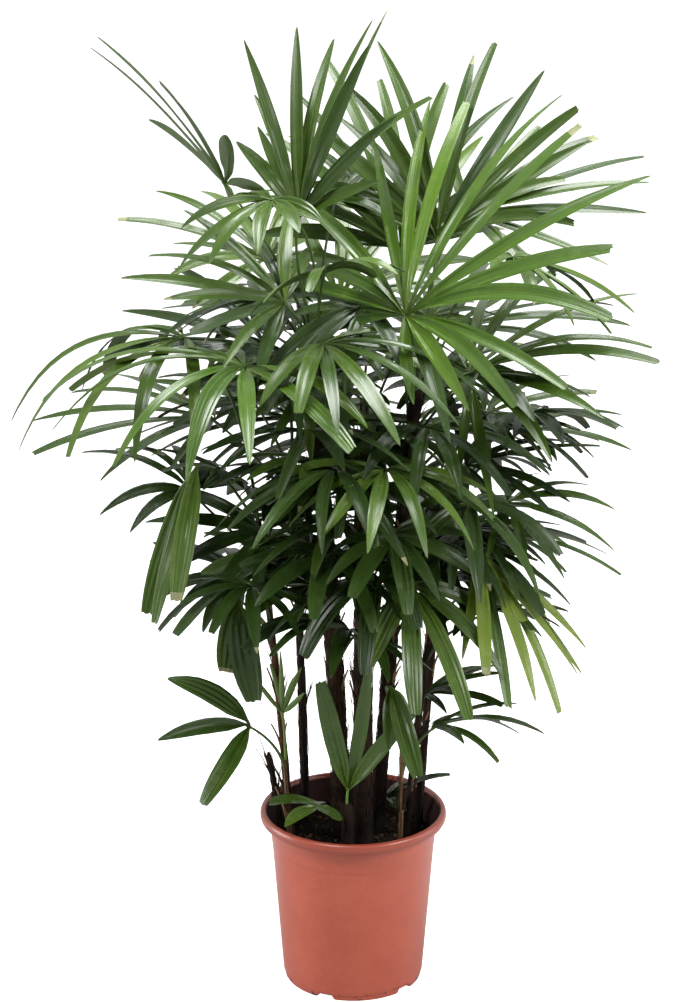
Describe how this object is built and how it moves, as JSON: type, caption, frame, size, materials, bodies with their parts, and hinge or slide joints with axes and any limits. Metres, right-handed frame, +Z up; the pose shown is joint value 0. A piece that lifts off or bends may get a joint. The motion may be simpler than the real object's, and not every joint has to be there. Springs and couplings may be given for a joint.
{
  "type": "potted lady palm",
  "caption": "Clump of slender fibrous canes with ribbed fan fronds, standing in a round tapered plastic pot with a rolled rim.",
  "frame": {"origin": "centre of the pot's flat underside, where it meets the floor", "axes": "+Z up along the plant, +X to the right and +Y to the back as the plant is seen from its front"},
  "size_m": [0.7874, 0.8708, 1.2541],
  "materials": {
    "pot_plastic": "satin moulded polypropylene, terracotta coloured",
    "potting_soil": "crumbly peat mix",
    "cane_fibre": "coarse dark fibre sheaths over ringed cane",
    "leaf_fresh": "glossy young blade, lengthwise ribs",
    "leaf_green": "glossy blade, lengthwise ribs",
    "leaf_deep": "glossy old blade, lengthwise ribs"
  },
  "bodies": {
    "root": {"pot": "pot_plastic", "potting_soil": "potting_soil", "tall_left_cane": "cane_fibre", "tall_right_cane": "cane_fibre", "left_cane": "cane_fibre", "left_back_cane": "cane_fibre", "middle_cane": "cane_fibre", "right_cane": "cane_fibre", "right_back_cane": "cane_fibre", "back_cane": "cane_fibre", "low_right_cane": "cane_fibre", "low_left_cane": "cane_fibre", "front_shoot": "cane_fibre", "cut_stub": "cane_fibre", "tall_left_cane_frond_1": "leaf_green", "tall_left_cane_frond_2": "leaf_green", "tall_left_cane_frond_3": "leaf_green", "tall_left_cane_frond_4": "leaf_green", "tall_left_cane_frond_5": "leaf_fresh", "tall_left_cane_frond_6": "leaf_green", "tall_left_cane_frond_7": "leaf_deep", "tall_left_cane_frond_8": "leaf_green", "tall_right_cane_frond_1": "leaf_green", "tall_right_cane_frond_2": "leaf_fresh", "tall_right_cane_frond_3": "leaf_green", "tall_right_cane_frond_4": "leaf_green", "tall_right_cane_frond_5": "leaf_green", "tall_right_cane_frond_6": "leaf_deep", "tall_right_cane_frond_7": "leaf_deep", "tall_right_cane_frond_8": "leaf_deep", "left_cane_frond_1": "leaf_green", "left_cane_frond_2": "leaf_green", "left_cane_frond_3": "leaf_green", "left_back_cane_frond_1": "leaf_deep", "left_back_cane_frond_2": "leaf_deep", "left_back_cane_frond_3": "leaf_deep", "left_back_cane_frond_4": "leaf_deep", "middle_cane_frond_1": "leaf_green", "middle_cane_frond_2": "leaf_deep", "middle_cane_frond_3": "leaf_green", "middle_cane_frond_4": "leaf_deep", "middle_cane_frond_5": "leaf_green", "right_cane_frond_1": "leaf_deep", "right_cane_frond_2": "leaf_green", "right_cane_frond_3": "leaf_green", "right_cane_frond_4": "leaf_fresh", "right_cane_frond_5": "leaf_deep", "right_back_cane_frond_1": "leaf_green", "right_back_cane_frond_2": "leaf_deep", "right_back_cane_frond_3": "leaf_deep", "back_cane_frond_1": "leaf_green", "back_cane_frond_2": "leaf_deep", "back_cane_frond_3": "leaf_deep", "low_right_cane_frond_1": "leaf_green", "low_right_cane_frond_2": "leaf_green", "low_right_cane_frond_3": "leaf_deep", "low_left_cane_frond_1": "leaf_green", "low_left_cane_frond_2": "leaf_fresh", "front_shoot_frond_1": "leaf_fresh", "front_shoot_frond_2": "leaf_green"}
  },
  "joints": []
}
